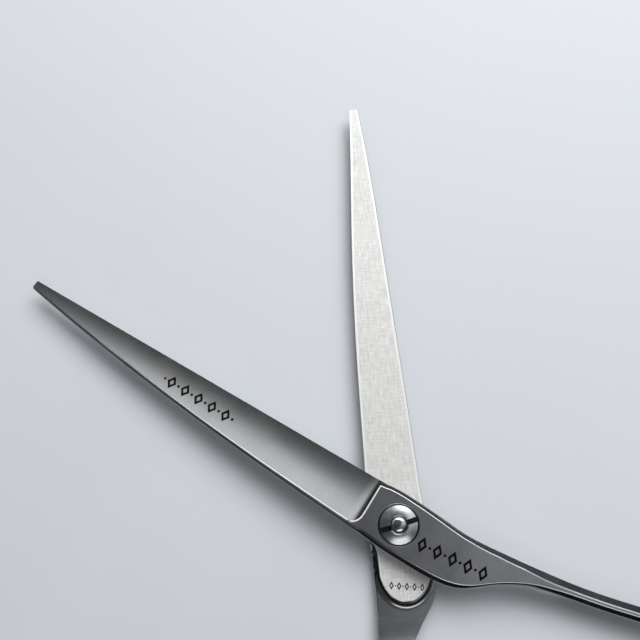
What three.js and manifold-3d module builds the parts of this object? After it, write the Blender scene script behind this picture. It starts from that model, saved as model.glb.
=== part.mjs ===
// Hair cutting shears: two crossed halves on a threaded stud, with a cone nut, washers, a bush,
// rubber ring inserts, a bumper plug and a screw-in finger rest.
// Millimetres. +Z up, the table is z = 0, the pivot axis is the Z axis and the tips point to +Y.
// Each half is drawn closed in its own frame: +x its cutting side, z = 0 its ride face, +z outwards.
import * as THREE from 'three';
import { mergeVertices } from 'three/addons/utils/BufferGeometryUtils.js';
import Module from 'manifold-3d';

const wasm = await Module();
wasm.setup();

// ---- driving sizes ----
const openAngle = 52.4;            // between the blades at rest, degrees
const bladeLength = 83;            // pivot to tip
const halfThickness = 3;           // of one half at the pivot
const tipThickness = 1.35;         // of the spine at the tip
const edgeThickness = 0.35;        // left at the cutting edge by the hollow
const rideGap = 0.06;              // between the two ride faces
const edgeAtPivot = 5.2;           // cutting edge line, offset at the pivot
const edgeAtTip = 0.99;            // and at the tip
const spineAtPivot = 5.05;         // spine line, offset at the pivot
const spineDrop = 4.3;             // how far the spine falls in by the tip
const spinePower = 2.4;
const lowerBow = 0.85;             // sideways bow of the lower blade at its middle
const shoulderY = 6.4;             // where the hollow ends
const hollowRadius = 30;           // wheel that grinds the hollow
const hollowFillet = 1.3;          // rounding of that wheel's corner
const ridgeInset = 0.85;           // flat strip left along the spine
const shankWidth = 2.7;
const shankHeight = 4.4;
const ringWall = 3;
const ringHeight = 5.2;

const studRadius = 2.3;
const studHeadRadius = 3.5;
const studHeadHeight = 0.85;
const domeRadius = 1.5;
const domeHeight = 0.7;
const nutRadius = 3.5;
const nutHeight = 1.2;             // cylindrical part
const nutConeRise = 0.42;
const slotWidth = 0.8;
const slotDepth = 0.75;
const slotAngle = -14;             // of the slot from the row's x axis, degrees
const bushWall = 0.5;
const washerSheet = 0.22;
const washerDish = 0.3;
const glideRadius = 3.9;
const glideThickness = 0.46;
const pocketDepth = 1.75;          // nut's counterbore in the upper half

const runClear = 0.05;             // radial, between parts that turn on each other
const fixedClear = 0.02;           // between parts that are fixed to each other
const pocketClear = 0.15;          // round the nut

const insertWall = 1.4;
const insertLip = 0.9;
const insertClear = 0.1;
const bumperRadius = 2.1;
const bumperStemRadius = 1.1;
const bumperSeat = 1.6;            // depth of the stem in the ring
const restRadius = 1.25;
const restLength = 15;
const restThreadRadius = 0.9;
const restThreadLength = 2;

const roundSteps = 48;
const ringSteps = 48;

// The two halves differ behind the pivot, as the finger and thumb handles do.
const upperShape = {
  cutSide: [[5.35, -2], [5.08, -10.6], [5.35, -14], [6.35, -21.6], [7.3, -27.1]],
  neck: [[8.05, -31], [5.4, -31]],
  spineSide: [[4.25, -27.1], [2.95, -23.3], [1, -20.3], [-1.3, -17.5], [-4.3, -12.6], [-5.3, 0]],
  shank: [[5.9, -26.4, 0.5], [7.1, -32.6, 0.12], [9.7, -43], [12.7, -53], [15.6, -60.5], [16.9, -65.5]],
  ring: { x: 17.5, y: -80, a: 11.8, b: 13 },
  bow: 0,
};
const lowerShape = {
  cutSide: [[5.35, -2], [5.1, -11], [5.05, -14.6], [5.3, -19.6], [6.1, -24.6]],
  neck: [[7.4, -30], [4.75, -30]],
  spineSide: [[3.1, -26.2], [1.2, -23], [-1.25, -19.9], [-3.3, -16.8], [-5.7, -12.2], [-5.45, 0]],
  shank: [[4.95, -26.2, 0.5], [6.75, -31.6, 0.12], [9.4, -39], [12.4, -47], [14.8, -53], [15.9, -57.2]],
  ring: { x: 16.5, y: -72, a: 12.2, b: 13.4 },
  bow: lowerBow,
};

// ---- helpers ----
const rad = (degrees) => degrees * Math.PI / 180;

function solid(geometry) {
  const g = geometry.clone();
  g.deleteAttribute('normal');
  g.deleteAttribute('uv');
  const merged = mergeVertices(g, 1e-5);
  const mesh = new wasm.Mesh({
    numProp: 3,
    vertProperties: new Float32Array(merged.attributes.position.array),
    triVerts: new Uint32Array(merged.index.array),
  });
  return new wasm.Manifold(mesh);
}

function toGeometry(manifold) {
  const mesh = manifold.getMesh();
  const g = new THREE.BufferGeometry();
  g.setAttribute('position', new THREE.BufferAttribute(new Float32Array(mesh.vertProperties), 3));
  g.setIndex(new THREE.BufferAttribute(new Uint32Array(mesh.triVerts), 1));
  return g;
}

function turned(profile, steps = roundSteps) {
  const g = new THREE.LatheGeometry(profile.map(([r, z]) => new THREE.Vector2(r, z)), steps);
  return g.rotateX(Math.PI / 2);
}

function drum(radius, z0, z1, x = 0, y = 0) {
  const g = turned([[0, z0], [radius, z0], [radius, z1], [0, z1]]);
  return solid(g.translate(x, y, 0));
}

function plate(shape, z0, z1, bevel = 0, rise = bevel) {
  const g = new THREE.ExtrudeGeometry(shape, {
    depth: z1 - z0 - 2 * rise,
    bevelEnabled: bevel > 0,
    bevelSize: bevel,
    bevelOffset: -bevel,
    bevelThickness: rise,
    bevelSegments: 1,
    curveSegments: 4,
  });
  return solid(g.translate(0, 0, z0 + rise));
}

// A shape drawn in (y, z) and drawn out along x.
function profileBlock(shape, halfWidth) {
  const g = new THREE.ExtrudeGeometry(shape, { depth: 2 * halfWidth, bevelEnabled: false, curveSegments: 5 });
  g.translate(0, 0, -halfWidth);
  g.applyMatrix4(new THREE.Matrix4().set(0, 0, 1, 0, 1, 0, 0, 0, 0, 1, 0, 0, 0, 0, 0, 1));
  return solid(g);
}

const smooth = (points) => points.map(([x, y]) => new THREE.Vector2(x, y));

// ---- one half, in its own closed frame ----
const edgeX = (y) => edgeAtPivot + (edgeAtTip - edgeAtPivot) * y / bladeLength;
const spineX = (y) => -(spineAtPivot - spineDrop * (Math.max(y, 0) / bladeLength) ** spinePower);

// Sideways bow of a blade: nothing at the pivot and the tip, most at the middle.
const bowX = (half, y) => half.bow * Math.max(Math.sin(Math.PI * y / bladeLength), 0) ** 1.5;

function bladePlan(half) {
  const start = shoulderY - 1;
  const tipSlant = 0.8;
  const steps = 18;
  const shape = new THREE.Shape();
  shape.moveTo(edgeX(start) + bowX(half, start), start);
  for (let i = 1; i <= steps; i += 1) {
    const y = start + (bladeLength - tipSlant - start) * i / steps;
    shape.lineTo(edgeX(y) + bowX(half, y), y);
  }
  shape.lineTo(spineX(bladeLength) * 0.55, bladeLength);
  for (let i = 0; i <= steps; i += 1) {
    const y = bladeLength - tipSlant / 2 - (bladeLength - tipSlant / 2 - start) * i / steps;
    shape.lineTo(spineX(y) + bowX(half, y), y);
  }
  shape.closePath();
  return shape;
}

function ricassoPlan(half) {
  const front = shoulderY + 1.5;
  const shape = new THREE.Shape();
  shape.moveTo(spineX(front) + bowX(half, front), front);
  shape.lineTo(edgeX(front) + bowX(half, front), front);
  shape.lineTo(edgeX(shoulderY - 2), shoulderY - 2);
  shape.splineThru(smooth(half.cutSide));
  half.neck.forEach(([x, y]) => shape.lineTo(x, y));
  shape.lineTo(...half.spineSide[0]);
  shape.splineThru(smooth(half.spineSide.slice(1)));
  shape.closePath();
  return shape;
}

// The flat the halves ride on: full width at the pivot, ending behind it in half an ellipse.
function ridePlan() {
  const centre = { x: -0.6, y: -7, a: 4.6, b: 6.5 };
  const front = shoulderY + 1.5;
  const shape = new THREE.Shape();
  shape.moveTo(edgeX(front), front);
  shape.lineTo(edgeX(front) - 9, front);
  shape.lineTo(centre.x - centre.a - 1.2, -1);
  shape.lineTo(centre.x - centre.a, centre.y);
  shape.absellipse(centre.x, centre.y, centre.a, centre.b, Math.PI, 2 * Math.PI, false, 0);
  shape.lineTo(edgeX(0), -1);
  shape.closePath();
  return shape;
}

function sideProfile() {
  const relief = 0.45;
  const shape = new THREE.Shape();
  shape.moveTo(shoulderY + 3, relief);
  shape.lineTo(-18, relief);
  shape.splineThru(smooth([[-20.5, 0.1], [-24, -1], [-27, -1.5], [-33, -1.9]]));
  shape.lineTo(-33, shankHeight / 2);
  shape.splineThru(smooth([[-27, 2.45], [-22, 2.75], [-15, halfThickness]]));
  shape.lineTo(shoulderY + 3, halfThickness);
  shape.closePath();
  return shape;
}

function bladeProfile() {
  const start = shoulderY - 1;
  const shape = new THREE.Shape();
  shape.moveTo(start, 0);
  shape.lineTo(bladeLength + 1, 0);
  shape.lineTo(bladeLength + 1, tipThickness);
  shape.lineTo(start + 1, halfThickness);
  shape.lineTo(start, halfThickness);
  shape.closePath();
  return shape;
}

// The hollow is ground by a wide wheel whose axle lies along the cutting edge.
function hollowWheel() {
  const chord = edgeX(shoulderY) - spineX(shoulderY) - ridgeInset;
  const rise = halfThickness - edgeThickness;
  const half = Math.hypot(chord, rise) / 2;
  const lean = Math.atan2(rise, chord);
  const lift = Math.sqrt(hollowRadius ** 2 - half ** 2);
  const axleX = edgeX(shoulderY) - chord / 2 + lift * Math.sin(lean);
  const axleZ = edgeThickness + rise / 2 + lift * Math.cos(lean);
  const path = new THREE.Path();
  path.moveTo(0.001, 0);
  path.lineTo(hollowRadius - hollowFillet, 0);
  path.absarc(hollowRadius - hollowFillet, hollowFillet, hollowFillet, -Math.PI / 2, 0, false);
  path.lineTo(hollowRadius, bladeLength + 4);
  const profile = path.getPoints(4);
  profile[0].x = 0;
  profile.push(new THREE.Vector2(0, bladeLength + 4));
  const wheel = new THREE.LatheGeometry(profile, 144);
  wheel.rotateZ(Math.atan2(edgeX(0) - edgeX(bladeLength), bladeLength));
  return solid(wheel.translate(axleX, shoulderY, axleZ));
}

function shankPath(half) {
  const points = half.shank.map(([x, y, z = 0]) => new THREE.Vector3(x, y, z));
  return new THREE.CatmullRomCurve3(points, false, 'centripetal');
}

// Eight-sided bar with a narrow crest, drawn along the handle's centre line.
function shank(half) {
  const [w, h] = [shankWidth / 2, shankHeight / 2];
  const [crest, wall] = [0.55, 0.9];
  const section = new THREE.Shape();
  section.moveTo(h, -crest);
  section.lineTo(h, crest);
  section.lineTo(wall, w);
  section.lineTo(-wall, w);
  section.lineTo(-h, crest);
  section.lineTo(-h, -crest);
  section.lineTo(-wall, -w);
  section.lineTo(wall, -w);
  section.closePath();
  const bar = new THREE.ExtrudeGeometry(section, { steps: 24, bevelEnabled: false, extrudePath: shankPath(half) });
  return solid(bar);
}

// Web that widens the bar where it runs into its ring.
function ringWeb(half) {
  const [back, reach, spread, waist] = [9, 0.2, 4.9, shankWidth / 2 - 0.1];
  const end = shankPath(half).getPoint(1);
  const along = new THREE.Vector3(half.ring.x, half.ring.y, 0).sub(end).normalize();
  const at = (a, c) => [end.x + a * along.x - c * along.y, end.y + a * along.y + c * along.x];
  const shape = new THREE.Shape();
  shape.moveTo(...at(-back, -waist));
  shape.quadraticCurveTo(...at(-back * 0.3, -waist - 0.3), ...at(reach, -spread));
  shape.lineTo(...at(reach, spread));
  shape.quadraticCurveTo(...at(-back * 0.3, waist + 0.3), ...at(-back, waist));
  shape.closePath();
  return plate(shape, -shankHeight / 2 + 0.2, shankHeight / 2 - 0.2, 0.3);
}

// An elliptical ring of oval section. grow widens the section on every side.
function ringSolid({ x, y, a, b }, grow = 0) {
  const tube = ringWall / 2 + grow;
  const middle = a + ringWall / 2;
  const torus = new THREE.TorusGeometry(middle, tube, 10, ringSteps);
  const stretch = (b + ringWall / 2) / middle;
  torus.scale(1, stretch, (ringHeight / 2 + grow) / tube);
  return solid(torus.translate(x, y, 0));
}

function halfBody(half) {
  const ricasso = plate(ricassoPlan(half), -3, halfThickness, 0.45, 0.6).intersect(profileBlock(sideProfile(), 20));
  const ride = plate(ridePlan(), 0, 1).intersect(plate(ricassoPlan(half), -1, 2));
  const blade = plate(bladePlan(half), 0, halfThickness).intersect(profileBlock(bladeProfile(), 20));
  const handle = shank(half).add(ringWeb(half)).add(ringSolid(half.ring));
  return ricasso.add(ride).add(blade).subtract(hollowWheel()).add(handle);
}

// ---- layers of the pivot, as heights above the table ----
const lowerRide = halfThickness;
const upperRide = lowerRide + rideGap;
const pocketFloor = upperRide + halfThickness - pocketDepth;
const nutBottom = pocketFloor + washerSheet + washerDish + fixedClear * 2;
const nutTop = nutBottom + nutHeight;
const glideBottom = lowerRide - (glideThickness - rideGap) / 2;
const glideTop = glideBottom + glideThickness;
const bushRadius = studRadius + runClear + bushWall;
const threadRadius = domeRadius;

// Own frame to row frame. The lower half is the same drawing turned over about the Y axis.
const upperPlace = new THREE.Matrix4().makeRotationZ(rad(openAngle / 2))
  .multiply(new THREE.Matrix4().makeTranslation(0, 0, upperRide));
const lowerPlace = new THREE.Matrix4().makeRotationZ(rad(-openAngle / 2))
  .multiply(new THREE.Matrix4().makeTranslation(0, 0, lowerRide))
  .multiply(new THREE.Matrix4().makeRotationY(Math.PI));

// ---- ring furniture, in the half's own frame ----
const bumperAt = new THREE.Vector2(upperShape.ring.x - upperShape.ring.a - ringWall / 2, -78.5);
const restAngle = -62;             // where the finger rest leaves its ring, degrees from +x

function restSeat() {
  const { x, y, a, b } = upperShape.ring;
  const t = rad(restAngle);
  const point = new THREE.Vector3(x + (a + ringWall) * Math.cos(t), y + (b + ringWall) * Math.sin(t), 0);
  const out = new THREE.Vector3(Math.cos(t) / (a + ringWall), Math.sin(t) / (b + ringWall), 0).normalize();
  return { point, out };
}

// A drum whose axis runs from one point along a direction.
function rod(profile, point, direction) {
  const g = turned(profile, 28);
  g.applyQuaternion(new THREE.Quaternion().setFromUnitVectors(new THREE.Vector3(0, 0, 1), direction));
  return solid(g.translate(point.x, point.y, point.z));
}

function upperHalf() {
  const { point, out } = restSeat();
  const depth = restThreadLength + fixedClear;
  const threadHole = rod([[0, -depth], [restThreadRadius + fixedClear, -depth], [restThreadRadius + fixedClear, 2], [0, 2]], point, out);
  const stemHole = rod(
    [[0, 0], [bumperStemRadius + fixedClear, 0], [bumperStemRadius + fixedClear, 4], [0, 4]],
    new THREE.Vector3(bumperAt.x - ringWall / 2 + bumperSeat + fixedClear, bumperAt.y, 0),
    new THREE.Vector3(-1, 0, 0),
  );
  return halfBody(upperShape)
    .subtract(drum(bushRadius + fixedClear, -1, halfThickness))
    .subtract(drum(glideRadius + runClear, -1, glideTop - upperRide + runClear))
    .subtract(drum(nutRadius + pocketClear, halfThickness - pocketDepth, halfThickness + 1))
    .subtract(threadHole)
    .subtract(stemHole);
}

function lowerHalf() {
  return halfBody(lowerShape)
    .subtract(drum(studRadius + fixedClear, -1, halfThickness + 1))
    .subtract(drum(glideRadius + fixedClear, -1, lowerRide - glideBottom + fixedClear))
    .subtract(drum(studHeadRadius + fixedClear, halfThickness - studHeadHeight - fixedClear, halfThickness + 1));
}

// ---- pivot pieces, in the row frame ----
function pivotStud() {
  const chamfer = 0.15;
  const threadStart = pocketFloor + washerSheet;
  const domeBase = nutTop + nutConeRise - 0.25;
  const profile = [
    [0, 0], [studHeadRadius - chamfer, 0], [studHeadRadius, chamfer], [studHeadRadius, studHeadHeight],
    [studRadius, studHeadHeight], [studRadius, threadStart], [threadRadius, threadStart],
  ];
  const steps = 7;
  for (let i = 0; i <= steps; i += 1) {
    const t = i / steps * Math.PI / 2;
    profile.push([i === steps ? 0 : domeRadius * Math.cos(t), domeBase + domeHeight * Math.sin(t)]);
  }
  return solid(turned(profile));
}

function tensionNut() {
  const bore = threadRadius + runClear;
  const rim = 0.12;
  const inner = bore + 0.25;
  const body = solid(turned([
    [bore, nutBottom], [nutRadius - rim, nutBottom], [nutRadius, nutBottom + rim],
    [nutRadius, nutTop - rim], [nutRadius - rim, nutTop], [inner, nutTop + nutConeRise],
    [bore, nutTop + nutConeRise - 0.1], [bore, nutBottom],
  ]));
  const slot = new THREE.BoxGeometry(2 * nutRadius + 2, slotWidth, 4);
  slot.translate(0, 0, nutTop + nutConeRise - slotDepth + 2);
  return body.subtract(solid(slot.rotateZ(rad(slotAngle))));
}

function springWasher() {
  const inner = studRadius + runClear;
  const outer = nutRadius - 0.05;
  const low = pocketFloor + fixedClear;
  return solid(turned([
    [inner, low + washerDish], [outer, low], [outer, low + washerSheet],
    [inner, low + washerDish + washerSheet - fixedClear], [inner, low + washerDish],
  ]));
}

function bearingBush() {
  const inner = studRadius + runClear;
  const low = glideTop + 2 * runClear;
  const high = pocketFloor - fixedClear;
  return solid(turned([[inner, low], [bushRadius, low], [bushRadius, high], [inner, high], [inner, low]]));
}

function glideWasher() {
  const inner = studRadius + fixedClear;
  return solid(turned([
    [inner, glideBottom], [glideRadius, glideBottom], [glideRadius, glideTop], [inner, glideTop], [inner, glideBottom],
  ]));
}

// Soft channel ring that hugs the inside of a finger ring and laps over its two faces.
// reach is its half height, which brings its lower lip down to the table.
function ringInsert(ring, reach) {
  const outer = ring.a + insertLip;
  const inner = ring.a - insertWall;
  const edge = 0.7;
  const channel = new THREE.LatheGeometry([
    [inner, -reach + edge], [inner + edge, -reach], [outer - edge * 0.4, -reach], [outer, -reach + edge * 0.6],
    [outer, reach - edge * 0.6], [outer - edge * 0.4, reach], [inner + edge, reach], [inner, reach - edge],
    [inner, -reach + edge],
  ].map(([r, h]) => new THREE.Vector2(r, h)), ringSteps);
  channel.rotateX(Math.PI / 2);
  channel.scale(1, (ring.b + ringWall / 2) / (ring.a + ringWall / 2), 1);
  return solid(channel.translate(ring.x, ring.y, 0)).subtract(ringSolid(ring, insertClear));
}

function bumper() {
  const start = bumperSeat;
  const faceAt = 4.55;
  const round = 0.5;
  const head = ringWall / 2 + 0.12;
  const origin = new THREE.Vector3(bumperAt.x - ringWall / 2, bumperAt.y, 0);
  const stem = rod([
    [0, -start], [bumperStemRadius, -start], [bumperStemRadius, head], [bumperRadius, head],
    [bumperRadius, faceAt - round], [bumperRadius - round, faceAt], [0, faceAt],
  ], origin, new THREE.Vector3(-1, 0, 0));
  return stem.subtract(ringSolid(upperShape.ring, fixedClear).intersect(drum(3, -4, 4, origin.x + 1.4 + 3, origin.y)));
}

// Screwed stub, collar and a curved tapering hook for the little finger.
function fingerRest() {
  const { point, out } = restSeat();
  const collar = 1.5;
  const stub = rod([
    [0, -restThreadLength], [restThreadRadius, -restThreadLength], [restThreadRadius, 0.5],
    [restRadius + 0.45, 0.5], [restRadius + 0.45, collar], [0, collar],
  ], point, out);
  const side = new THREE.Vector3(-out.y, out.x, 0);
  const at = (along, across) => point.clone().addScaledVector(out, along).addScaledVector(side, across);
  const path = new THREE.CatmullRomCurve3([
    at(collar - 0.5, 0), at(restLength * 0.3, 0.2), at(restLength * 0.62, 1.9), at(restLength * 0.85, 4.4),
    at(restLength, 7.6),
  ], false, 'centripetal');
  const circle = new THREE.Shape();
  circle.absarc(0, 0, restRadius, 0, 2 * Math.PI, false);
  const bar = solid(new THREE.ExtrudeGeometry(circle, {
    steps: 16, curveSegments: 8, bevelEnabled: false, extrudePath: path,
  }));
  const ball = new THREE.SphereGeometry(restRadius + 0.15, 16, 10).translate(...path.getPoint(1).toArray());
  return stub.add(bar).add(solid(ball));
}

// ---- assembly ----
const steel = { color: 0x8b8c8e, roughness: 0.36, metalness: 1 };
const polished = { color: 0xc4c6c8, roughness: 0.12, metalness: 1 };
const bronze = { color: 0xa9804a, roughness: 0.4, metalness: 1 };
const spring = { color: 0x9a9c9e, roughness: 0.3, metalness: 1 };
const nylon = { color: 0xeceae2, roughness: 0.55, metalness: 0 };
const rubber = { color: 0x1c1c1e, roughness: 0.85, metalness: 0 };
const identity = new THREE.Matrix4();

const group = new THREE.Group();

function addPiece(name, manifold, place, look) {
  const geometry = toGeometry(manifold).applyMatrix4(place);
  const mesh = new THREE.Mesh(geometry, new THREE.MeshStandardMaterial(look));
  mesh.name = name;
  group.add(mesh);
}

addPiece('lower_half', lowerHalf(), lowerPlace, steel);
addPiece('upper_half', upperHalf(), upperPlace, steel);
addPiece('pivot_stud', pivotStud(), identity, polished);
addPiece('tension_nut', tensionNut(), identity, polished);
addPiece('spring_washer', springWasher(), identity, spring);
addPiece('bearing_bush', bearingBush(), identity, bronze);
addPiece('glide_washer', glideWasher(), identity, nylon);
addPiece('finger_insert', ringInsert(upperShape.ring, upperRide), upperPlace, rubber);
addPiece('thumb_insert', ringInsert(lowerShape.ring, lowerRide), lowerPlace, rubber);
addPiece('bumper', bumper(), upperPlace, rubber);
addPiece('finger_rest', fingerRest(), upperPlace, polished);

export default group;
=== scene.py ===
import bpy
import numpy as np
from mathutils import Matrix


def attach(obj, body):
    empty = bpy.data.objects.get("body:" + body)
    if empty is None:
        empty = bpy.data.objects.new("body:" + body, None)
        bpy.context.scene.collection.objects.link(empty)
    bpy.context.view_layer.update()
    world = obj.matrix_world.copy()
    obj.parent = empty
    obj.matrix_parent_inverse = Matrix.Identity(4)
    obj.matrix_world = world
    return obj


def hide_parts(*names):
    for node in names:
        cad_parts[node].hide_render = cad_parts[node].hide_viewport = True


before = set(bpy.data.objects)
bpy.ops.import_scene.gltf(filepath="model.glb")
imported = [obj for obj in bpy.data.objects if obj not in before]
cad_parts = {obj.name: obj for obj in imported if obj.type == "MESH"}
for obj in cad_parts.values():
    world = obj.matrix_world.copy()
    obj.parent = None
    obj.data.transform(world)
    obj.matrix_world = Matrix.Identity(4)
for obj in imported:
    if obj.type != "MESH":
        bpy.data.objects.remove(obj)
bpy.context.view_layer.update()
print("frame loaded")

# sizes shared by both halves, in millimetres; pieces are drawn in mm and shrunk to metres at the end
pair = {
    "openAngle": 52.4,       # between the blades, degrees
    "lowerRide": 3.0,        # height of the lower half's ride face
    "upperRide": 3.06,
    "thickness": 3.0,
    "bladeLength": 83.0,
    "edgeAtPivot": 5.2,      # cutting edge line, from the half's own axis
    "edgeAtTip": 0.99,
    "spineAtPivot": 5.05,
    "spineDrop": 4.3,
    "spinePower": 2.4,
    "shoulderY": 6.4,
    "pocketDepth": 1.75,
}


def toRadians(degrees):
    return degrees * np.pi / 180


def placeInScene(data, name):
    piece = bpy.data.objects.new(name, data)
    bpy.context.scene.collection.objects.link(piece)
    return piece


def linearColor(code):
    # sRGB hex to linear rgba
    value = np.array([int(code[i:i + 2], 16) for i in (1, 3, 5)]) / 255
    linear = np.where(value <= 0.04045, value / 12.92, ((value + 0.055) / 1.055) ** 2.4)
    return (*linear.tolist(), 1.0)


def addNode(material, kind, settings=None, links=None):
    # settings: attributes or input values by name; links: input name -> output socket
    node = material.node_tree.nodes.new(kind)
    for key, value in (settings or {}).items():
        if isinstance(key, str) and hasattr(node, key):
            setattr(node, key, value)
        else:
            node.inputs[key].default_value = value
    for key, socket in (links or {}).items():
        material.node_tree.links.new(socket, node.inputs[key])
    return node


def newMaterial(name):
    material = bpy.data.materials.new(name)
    material.use_nodes = True
    shader = material.node_tree.nodes["Principled BSDF"]
    return material, shader


def connect(material, output, target):
    material.node_tree.links.new(output, target)


def ownCoordinates(material, turn):
    # object coordinates in mm, turned to lie along a half
    place = addNode(material, "ShaderNodeTexCoord")
    return addNode(
        material, "ShaderNodeMapping",
        {"vector_type": "POINT", "Rotation": (0, 0, turn), "Scale": (1000, 1000, 1000)},
        {"Vector": place.outputs["Object"]},
    )


def mathNode(material, operation, a, b=None, clamp=False):
    node = addNode(material, "ShaderNodeMath", {"operation": operation, "use_clamp": clamp})
    for slotIndex, value in enumerate((a, b)):
        if value is None:
            continue
        if isinstance(value, (int, float)):
            node.inputs[slotIndex].default_value = value
        else:
            connect(material, value, node.inputs[slotIndex])
    return node.outputs[0]


etching = {
    # rows in mm along a half; the shares below shape every lozenge and dot
    "lozengeShare": 0.3, "lineShare": 0.45, "dotShare": 0.085, "ink": "#1b1a1b", "inkRough": 0.75,
    "blade": {"centre": (-0.9, 43.2), "length": 15.9, "lean": 0.03, "pitch": 3.0, "height": 1.3},
    "ricasso": {"centre": (0.15, -11.0), "length": 13.5, "lean": 0.14, "pitch": 2.9, "height": 1.45},
    "ride": {"centre": (0.6, -10.9), "length": 6.4, "lean": 1.43, "pitch": 1.38, "height": 0.72},
}


def etchedMask(material, own, mark):
    # a plain row of open lozenges with a dot between each two; 1 inside the mark
    centreX, centreY = mark["centre"]
    local = addNode(
        material, "ShaderNodeMapping",
        {"vector_type": "TEXTURE", "Location": (centreX, centreY, 0), "Rotation": (0, 0, mark["lean"])},
        {"Vector": own.outputs["Vector"]},
    )
    parts = addNode(material, "ShaderNodeSeparateXYZ", {}, {"Vector": local.outputs["Vector"]})
    across, along = parts.outputs["X"], parts.outputs["Y"]
    pitch, height = mark["pitch"], mark["height"]
    cell = mathNode(material, "PINGPONG", along, pitch / 2)
    aside = mathNode(material, "ABSOLUTE", across)
    lozenge = mathNode(material, "ADD", mathNode(material, "DIVIDE", cell, pitch * etching["lozengeShare"]),
                       mathNode(material, "DIVIDE", aside, height))
    frameIn = mathNode(material, "SUBTRACT", mathNode(material, "LESS_THAN", lozenge, 1.0),
                       mathNode(material, "LESS_THAN", lozenge, etching["lineShare"]))
    fromDot = mathNode(material, "SUBTRACT", pitch / 2, cell)
    dotReach = mathNode(material, "ADD", mathNode(material, "POWER", fromDot, 2.0),
                        mathNode(material, "POWER", aside, 2.0))
    dot = mathNode(material, "LESS_THAN", dotReach, (pitch * etching["dotShare"]) ** 2)
    inside = mathNode(material, "LESS_THAN", mathNode(material, "ABSOLUTE", along), mark["length"] / 2)
    return mathNode(material, "MULTIPLY", mathNode(material, "MAXIMUM", frameIn, dot), inside, True)


def toneAndRough(material, look, grain, patches):
    # colour follows the grain, roughness the larger patches
    tone = addNode(material, "ShaderNodeMix", {"data_type": "RGBA"}, {"Factor": grain.outputs["Fac"]})
    tone.inputs[6].default_value = linearColor(look["dark"])
    tone.inputs[7].default_value = linearColor(look["light"])
    low, high = look["rough"]
    rough = addNode(material, "ShaderNodeMapRange",
                    {"From Min": 0.3, "From Max": 0.7, "To Min": low, "To Max": high},
                    {"Value": patches.outputs["Fac"]})
    return tone, rough


def finishShader(material, shader, look, channels, bumpDepth):
    # channels are colour, roughness and relief; bumpDepth is in metres
    color, roughness, relief = channels
    bump = addNode(material, "ShaderNodeBump", {"Strength": look["bump"], "Distance": bumpDepth},
                   {"Height": relief})
    shader.inputs["Metallic"].default_value = look.get("metal", 1.0)
    connect(material, color, shader.inputs["Base Color"])
    connect(material, roughness, shader.inputs["Roughness"])
    connect(material, bump.outputs["Normal"], shader.inputs["Normal"])


def steelMaterial(name, look, turn, marks=()):
    # ground steel: grain drawn as noise stretched across the blade, in tone, roughness and bump
    material, shader = newMaterial(name)
    own = ownCoordinates(material, turn)
    grainScale = addNode(material, "ShaderNodeMapping", {"vector_type": "POINT", "Scale": look["grain"]},
                         {"Vector": own.outputs["Vector"]})
    grain = addNode(material, "ShaderNodeTexNoise", {"Scale": 1.0, "Detail": 3.0, "Roughness": 0.6},
                    {"Vector": grainScale.outputs["Vector"]})
    patches = addNode(material, "ShaderNodeTexNoise", {"Scale": 0.16, "Detail": 3.0},
                      {"Vector": own.outputs["Vector"]})
    tone, rough = toneAndRough(material, look, grain, patches)
    color = tone.outputs[2]
    roughness = rough.outputs["Result"]
    height = grain.outputs["Fac"]
    if look.get("weave"):
        # second grain at right angles, from cross grinding
        crossScale = addNode(material, "ShaderNodeMapping",
                             {"vector_type": "POINT", "Scale": look["weave"]},
                             {"Vector": own.outputs["Vector"]})
        cross = addNode(material, "ShaderNodeTexNoise", {"Scale": 1.0, "Detail": 2.0},
                        {"Vector": crossScale.outputs["Vector"]})
        height = mathNode(material, "MULTIPLY", grain.outputs["Fac"], cross.outputs["Fac"])
        contrast = addNode(material, "ShaderNodeMapRange",
                           {"From Min": 0.12, "From Max": 0.4, "To Min": 0.0, "To Max": 1.0},
                           {"Value": height})
        connect(material, contrast.outputs["Result"], tone.inputs["Factor"])
    for mark in marks:
        mask = etchedMask(material, own, etching[mark])
        inked = addNode(material, "ShaderNodeMix", {"data_type": "RGBA"}, {"Factor": mask})
        connect(material, color, inked.inputs[6])
        inked.inputs[7].default_value = linearColor(etching["ink"])
        color = inked.outputs[2]
        matt = addNode(material, "ShaderNodeMix", {"data_type": "FLOAT"}, {"Factor": mask})
        connect(material, roughness, matt.inputs[2])
        matt.inputs[3].default_value = etching["inkRough"]
        roughness = matt.outputs[0]
    finishShader(material, shader, look, (color, roughness, height), 0.00002)
    return material


finishes = {
    # belt-satined flats: mid grey, soft reflections
    "satin": {"dark": "#8a8b8e", "light": "#b6b7ba", "grain": (0.3, 5, 1),
              "rough": (0.27, 0.34), "bump": 0.16},
    # wheel-ground hollow: the same steel, finer
    "hollow": {"dark": "#5d5e5f", "light": "#666767", "grain": (0.3, 4, 1),
               "rough": (0.25, 0.29), "bump": 0.06},
    # buffed bevels and edges: brighter, nearly mirror
    "bevel": {"dark": "#97999c", "light": "#a7a9ab", "grain": (4, 0.6, 4),
              "rough": (0.12, 0.18), "bump": 0.03},
    # surface-ground ride face: near white, crossed grinding lines drawn at 0.4 mm so that they show
    "ground": {"dark": "#c3c3c0", "light": "#dededb", "grain": (0.5, 3.4, 1), "weave": (3.0, 0.4, 1),
               "rough": (0.56, 0.64), "bump": 0.2, "metal": 0.4},
    # honed line along the edge: brighter and smoother than the ground face
    "hone": {"dark": "#dcdcda", "light": "#e8e8e6", "grain": (2, 2, 2), "rough": (0.5, 0.56), "bump": 0.05,
             "metal": 0.45},
}
halfAngle = toRadians(pair["openAngle"] / 2)


def steelSet(side, turn, marks):
    # one steel in five finishes; marks says which etched rows a finish carries
    return [steelMaterial(side + finish.capitalize() + "Steel", look, turn, marks.get(finish, ()))
            for finish, look in finishes.items()]


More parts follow.
